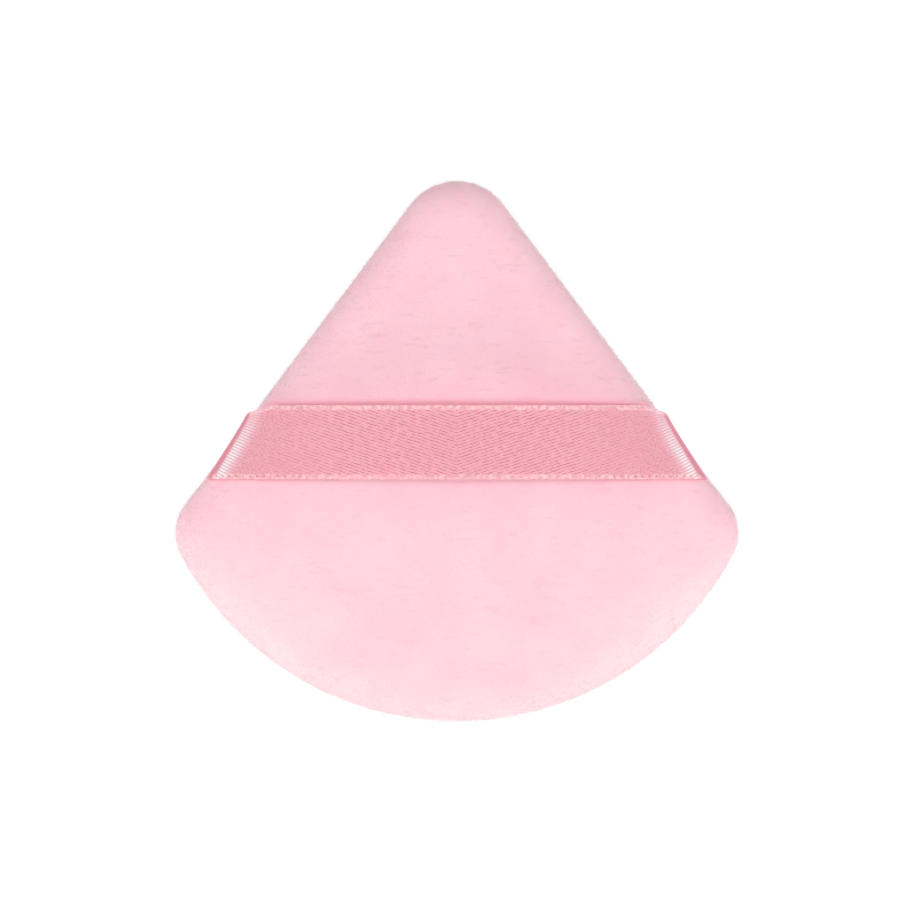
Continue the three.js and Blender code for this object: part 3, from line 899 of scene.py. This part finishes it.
def painted_fold_light(n, colour, from_middle, y):
    """Painted highlight where the ribbon folds over the pad's edge, white ribs with darker gaps, and
    painted shade on the steep part below.
    """
    tones = SATIN_COLOURS
    tilt = n.parts(n.add("ShaderNodeNewGeometry").outputs["Normal"])["Z"]
    eased = n.ramp(y, RIBBON_WIDTH / 2, -RIBBON_WIDTH / 2, end=FOLD_EASE)
    past_fold = n.math("SUBTRACT", tilt, eased)
    bend = n.times(n.ramp(tilt, *FOLD_START), n.ramp(past_fold, *FOLD_END))
    slanted = n.math("SUBTRACT", y, n.times(from_middle, RIB_SLOPE))
    turn = n.math("FRACT", n.math("DIVIDE", slanted, RIB_PITCH))
    rib = n.math("ABSOLUTE", n.math("SUBTRACT", turn, 0.5))
    lower = n.ramp(y, *HIGHLIGHT_ACROSS, *HIGHLIGHT_SHARE)
    # Painted highlight in white ribs at the fold, stronger towards the lower edge
    fold_highlight_ribs = n.times(n.ramp(rib, *HIGHLIGHT_RIB_FADE), lower)
    colour = n.mix(n.times(bend, fold_highlight_ribs), colour, tones["fold_highlight"])
    # Painted shade in the gaps between the highlight's ribs
    between = n.times(n.ramp(rib, *HIGHLIGHT_GAP_FADE), lower)
    colour = n.tint(colour, n.times(bend, between), HIGHLIGHT_GAP_SHARE, tones["fold_highlight_gaps"])
    # Painted shade: a deeper pink on the steep part past the fold, kept off the underside
    steep = n.times(n.ramp(past_fold, *STEEP_SHADE_FADE), n.ramp(tilt, *UPPER_FACE))
    return n.tint(colour, steep, STEEP_SHADE_SHARE, tones["steep"])


def satin_material():
    """A chevron of slanting lines between pale selvedges, with a painted highlight and painted shade at
    the folds.
    """
    n = Look("satin", SATIN_FINISH)
    flat = n.add("ShaderNodeUVMap", {"uv_map": WEAVE}).outputs[0]
    x, y = n.parts(flat)[:2]
    from_middle = n.math("ABSOLUTE", x)
    ends = n.ramp(from_middle, *RIBBON_ENDS)
    round_yarn, dip = twill(n, flat, from_middle, y)
    colour = woven_colour(n, flat, ends, round_yarn, dip)
    edge = n.ramp(n.math("ABSOLUTE", y), *SELVEDGE_FADE)
    colour = n.mix(edge, colour, selvedge_colour(n, flat))
    colour = painted_fold_light(n, colour, from_middle, y)
    gap_share = n.ramp(from_middle, *RIBBON_ENDS, *GAP_SHARE)
    gaps = n.times(selvedge_gaps(n, x, y), gap_share)
    n.paint(n.mix(gaps, colour, SATIN_COLOURS["selvedge_gap"]))
    n.bump(n.math("SUBTRACT", round_yarn, n.times(dip, DIP_DEPTH)), **SATIN_BUMP)
    return n.material


def thread_material():
    """Two pinks in fine flecks, as twisted thread shows."""
    n = Look("thread", THREAD_FINISH)
    twist = n.noise(n.place(), **TWIST)
    n.paint(n.mix(twist, THREAD_COLOURS["deep"], THREAD_COLOURS["pale"]))
    return n.material


def foam_material():
    """Cream foam with darker cells."""
    n = Look("foam", FOAM_FINISH)
    cells = n.add("ShaderNodeTexVoronoi", Vector=n.place(), Scale=FOAM_CELLS)
    depth = n.ramp(cells.outputs["Distance"], *FOAM_FADE)
    n.paint(n.mix(depth, FOAM_COLOURS["deep"], FOAM_COLOURS["pale"]))
    return n.material


VELOUR_LOOK = velour_material()
PILE_LOOK = pile_material()
SATIN_LOOK = satin_material()
THREAD_LOOK = thread_material()
FOAM_LOOK = foam_material()


# Pieces

def panel(name, node, height, rim, side):
    """A velour panel with its cut edge turned in at the seam."""
    outside = [(d, height(d)) for d in face_insets(0, rim, FINE_RINGS)]
    inside = [(d, height(d, VELOUR)) for d in face_insets(VELOUR, rim, COARSE_RINGS)[1:]]
    inner = SEAM_HEIGHT + side * SEAM_GAP / 2
    outer = inner + side * ALLOWANCE_THICKNESS
    lip = [(inset, SEAM_HEIGHT + side * off_seam) for inset, off_seam in LIP_RINGS]
    turned_in = [
        (SEAM_DIP, inner),
        (ALLOWANCE_INSET, inner),
        (ALLOWANCE_INSET, outer),
        (VELOUR, outer),
    ]
    section = [*outside[::-1], *lip, *turned_in, *inside]
    top = height(INRADIUS).mean()
    lining = height(INRADIUS, VELOUR).mean()
    points, faces = ring_skin(section, top, lining, SKIN_STEPS)
    if side == FRONT:
        points = pressed_in(points)
    else:
        faces = [f[::-1] for f in faces]
    obj = mesh_object(name, points, faces, VELOUR_LOOK)
    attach(obj, "root")
    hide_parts(node)


def sown(rng, height, rim, side):
    """Places all over a face where fibres stand, closer together at its rim, and the normals there."""
    insets = face_insets(0, rim, FINE_RINGS)
    rings = [np.column_stack([outline(d, SKIN_STEPS), height(d)]) for d in insets]
    middle = [*PAD_MIDDLE, height(INRADIUS).mean()]
    rings = np.array([*rings, np.tile(middle, (len(rings[0]), 1))])
    if side == FRONT:
        rings = pressed_in(rings.reshape(-1, 3)).reshape(rings.shape)
    beside = np.roll(rings, -1, axis=1)
    a, b, c, d = (x.reshape(-1, 3) for x in (rings[:-1], beside[:-1], beside[1:], rings[1:]))
    normal = np.cross(c - a, d - b)
    size = np.linalg.norm(normal, axis=1)
    crowd = 1 + PILE_CROWD * np.clip(1 - np.array(insets) / PILE_RIM, 0, 1) ** 2
    chance = size * np.repeat(crowd, len(rings[0]))
    pick = rng.choice(len(size), PILE_COUNT, p=chance / chance.sum())
    u, v = rng.uniform(size=(2, PILE_COUNT, 1))
    root = (a[pick] * (1 - u) + b[pick] * u) * (1 - v) + (d[pick] * (1 - u) + c[pick] * u) * v
    normal = normal[pick] / size[pick, None]
    normal *= side * np.sign(normal[:, 2].mean())
    return root, normal


def has_room(root, tip, side):
    """Which fibres are clear of the ground and, in front, of the ribbon's ends."""
    clear = (tip[:, 2] > PILE_CLEAR) & (root[:, 2] > PILE_CLEAR)
    under = np.abs(root[:, 1] - RIBBON_AHEAD) < RIBBON_WIDTH / 2 + PILE_CLEAR
    under &= np.abs(root[:, 0]) > BARE_FROM
    return clear & ~(under & (side == FRONT))


def needles(name, rng, root, way, tip, normal):
    """One mesh of thin needles, each with a cell of its own in the flat map."""
    aside = np.cross(way, rng.normal(size=way.shape))
    aside /= np.linalg.norm(aside, axis=1, keepdims=True)
    ahead = np.cross(way, aside)
    base = root - normal * PILE_DEPTH
    turns = np.arange(NEEDLE_SIDES) * 2 * math.pi / NEEDLE_SIDES
    foot = [base + PILE_WIDTH / 2 * (math.cos(t) * aside + math.sin(t) * ahead) for t in turns]
    points = np.stack([*foot, tip], 1).reshape(-1, 3)
    number = np.arange(len(tip))
    first = (NEEDLE_SIDES + 1) * number[:, None, None]
    faces = (first + np.array(NEEDLE_FACES)).reshape(-1, 3)
    obj = mesh_object(name, points, faces, PILE_LOOK)
    across = math.ceil(math.sqrt(len(tip)))
    cell = np.stack([number % across, number // across], 1)[:, None] + 0.5
    corner = np.array([*[(math.cos(t), math.sin(t)) for t in turns], (0, 0)]) * CELL_SHARE
    spread(obj, BAKE, ((cell + corner) / across).reshape(-1, 2))
    return obj


def pile(name, height, rim, side):
    """Short fibres that stand on a panel, none of them under the puff or under the ribbon's ends."""
    rng = np.random.default_rng(SEED + side)
    root, normal = sown(rng, height, rim, side)
    way = normal + PILE_LEAN * np.array([0, -1, 0]) + rng.normal(0, PILE_SCATTER, root.shape)
    way /= np.linalg.norm(way, axis=1, keepdims=True)
    tip = root + way * rng.uniform(*PILE_LENGTH, (PILE_COUNT, 1))
    upright = (way * normal).sum(1) > PILE_UPRIGHT
    keep = upright & has_room(root, tip, side)
    obj = needles(name, rng, root[keep], way[keep], tip[keep], normal[keep])
    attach(obj, "root")


def ribbon():
    """The finger band with the relief of its weave, and with the flat places of its points."""
    grid, normal = ribbon_grid(**RIBBON_MESH)
    flat_x, flat_y = laid_flat(grid)
    half = RIBBON_THICKNESS / 2
    upper = grid + normal * (half + weave_relief(flat_x, flat_y, normal))[:, :, None]
    lower = grid - normal * half
    obj = mesh_object("ribbon", *closed_sheet(upper, lower), SATIN_LOOK)
    obj.data.set_sharp_from_angle(angle=SHARP_EDGE)
    flat = np.stack([flat_x, flat_y], -1).reshape(-1, 2)
    spread(obj, WEAVE, np.vstack([flat, flat]))
    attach(obj, "root")
    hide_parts("finger_ribbon")


def sponge(front_face, rear_face):
    """The filling, with a groove round its edge for the seam and small pores all over."""
    depth = VELOUR + SPONGE_CLEAR
    groove = SEAM_GAP / 2 + ALLOWANCE_THICKNESS + GROOVE_CLEAR
    groove_inset = ALLOWANCE_INSET + SPONGE_CLEAR
    top = [(d, front_face(d, depth)) for d in face_insets(SPONGE_EDGE, FRONT_RIM, SPONGE_RINGS)]
    bottom = [(d, rear_face(d, depth)) for d in face_insets(SPONGE_EDGE, REAR_RIM, SPONGE_RINGS)]
    waist = [
        (SPONGE_EDGE, SEAM_HEIGHT + groove),
        (groove_inset, SEAM_HEIGHT + groove),
        (groove_inset, SEAM_HEIGHT - groove),
        (SPONGE_EDGE, SEAM_HEIGHT - groove),
    ]
    section = [*top[::-1], *waist, *bottom]
    top_middle = front_face(INRADIUS, depth).mean()
    bottom_middle = rear_face(INRADIUS, depth).mean()
    points, faces = ring_skin(section, top_middle, bottom_middle, SKIN_STEPS)
    rng = np.random.default_rng(SEED)
    inwards = np.sign(SEAM_HEIGHT - points[:, 2])
    points[:, 2] += rng.uniform(0, PORE_DEPTH, len(points)) * inwards
    obj = mesh_object("sponge", points, faces, FOAM_LOOK)
    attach(obj, "root")
    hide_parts("sponge_core")


def threads():
    """The threads keep their solids and get a material."""
    for name in ("seam_needle_thread", "seam_bobbin_thread", "closing_thread"):
        mesh = frame["nodes"][name].data
        mesh.materials.clear()
        mesh.materials.append(THREAD_LOOK)


# Stage

def seen_rays(tree):
    """1 on rays that show what stands behind the puff: to the eye, in a reflection or through glass."""
    ray = tree.nodes.new("ShaderNodeLightPath")
    seen = ray.outputs["Is Camera Ray"]
    for kind in ("Is Glossy Ray", "Is Transmission Ray"):
        either = tree.nodes.new("ShaderNodeMath")
        either.operation = "MAXIMUM"
        tree.links.new(seen, either.inputs[0])
        tree.links.new(ray.outputs[kind], either.inputs[1])
        seen = either.outputs[0]
    return seen


def floor_material():
    """Seen as white with the puff's shadow on it, and pale grey to the light that it sends back."""
    n = Look("floor", {})
    bounce = n.add("ShaderNodeBsdfDiffuse", Color=grey(FLOOR_BOUNCE))
    shade = n.add("ShaderNodeBsdfDiffuse", Color=grey(FLOOR_SHADE))
    glow = n.add("ShaderNodeEmission", Color=WHITE, Strength=FLOOR_GLOW)
    both = n.add("ShaderNodeAddShader")
    n.feed(both.inputs[0], shade.outputs[0])
    n.feed(both.inputs[1], glow.outputs[0])
    mix = n.add("ShaderNodeMixShader")
    n.feed(mix.inputs[0], seen_rays(n.tree))
    n.feed(mix.inputs[1], bounce.outputs[0])
    n.feed(mix.inputs[2], both.outputs[0])
    n.feed(n.tree.nodes["Material Output"].inputs["Surface"], mix.outputs[0])
    n.tree.nodes.remove(n.shader)
    return n.material


def floor():
    """A plain floor, a hair below the puff so that no two faces lie in one plane."""
    half = FLOOR_HALF
    level = -FLOOR_DROP
    corners = [(-half, -half, level), (half, -half, level), (half, half, level), (-half, half, level)]
    obj = mesh_object("floor", corners, [(0, 1, 2, 3)], floor_material(), smooth=False)


def world():
    """Soft light from all round, before a background seen as plain white."""
    scene = bpy.context.scene
    scene.world = bpy.data.worlds.new("studio")
    scene.world.use_nodes = True
    tree = scene.world.node_tree
    background = tree.nodes["Background"]
    background.inputs["Color"].default_value = WHITE
    level = tree.nodes.new("ShaderNodeMix")
    level.inputs["A"].default_value = SKY_LEVEL
    level.inputs["B"].default_value = 1.0
    tree.links.new(seen_rays(tree), level.inputs["Factor"])
    tree.links.new(level.outputs["Result"], background.inputs["Strength"])


def lamp(name, place, aim, size, power):
    """A soft rectangular lamp turned towards a point."""
    light = bpy.data.lights.new(name, "AREA")
    light.shape = "RECTANGLE"
    light.size, light.size_y = size
    light.energy = power
    obj = bpy.data.objects.new(name, light)
    bpy.context.scene.collection.objects.link(obj)
    obj.location = place
    obj.rotation_euler = (Vector(aim) - Vector(place)).to_track_quat("-Z", "Y").to_euler()


def lamps():
    """Two main lamps in line with the ribbon, with weaker ones before, beside and behind the puff."""
    aim = (0, 0, SEAM_HEIGHT)
    for side, sign in SIDES.items():
        for kind, values in LAMPS.items():
            x, y, z = values["place"]
            lamp(f"{side}_{kind}", (sign * x, y, z), aim, values["size"], values["power"])


def camera():
    """Looks straight down on the front, with the puff where it is in the photograph."""
    view = bpy.data.cameras.new("camera")
    view.lens = LENS
    view.clip_start, view.clip_end = CLIP
    obj = bpy.data.objects.new("camera", view)
    bpy.context.scene.collection.objects.link(obj)
    aside = (FRAME_PIXELS / 2 - PUFF_AT[0]) * PIXEL
    below = (FRAME_PIXELS / 2 - PUFF_AT[1]) * PIXEL
    distance = FRAME_PIXELS * PIXEL * view.lens / view.sensor_width
    obj.location = (aside, -below, SEAM_HEIGHT + distance)
    bpy.context.scene.camera = obj


# The puff
cover = None
ended, polygons = inflated_pad()
cover = BVHTree.FromPolygons(ended.tolist(), polygons)
front_face = swollen(front_height, swell(front_height, FRONT_RIM, FRONT, cover))
rear_face = swollen(rear_height, swell(rear_height, REAR_RIM, REAR, cover))
panel("front_velour", "front_panel", front_face, FRONT_RIM, FRONT)
panel("rear_velour", "rear_panel", rear_face, REAR_RIM, REAR)
pile("front_pile", front_face, FRONT_RIM, FRONT)
pile("rear_pile", rear_face, REAR_RIM, REAR)
ribbon()
sponge(front_face, rear_face)
threads()

# What stands round it
floor()
world()
lamps()
camera()
bpy.context.scene.view_settings.view_transform = "Standard"
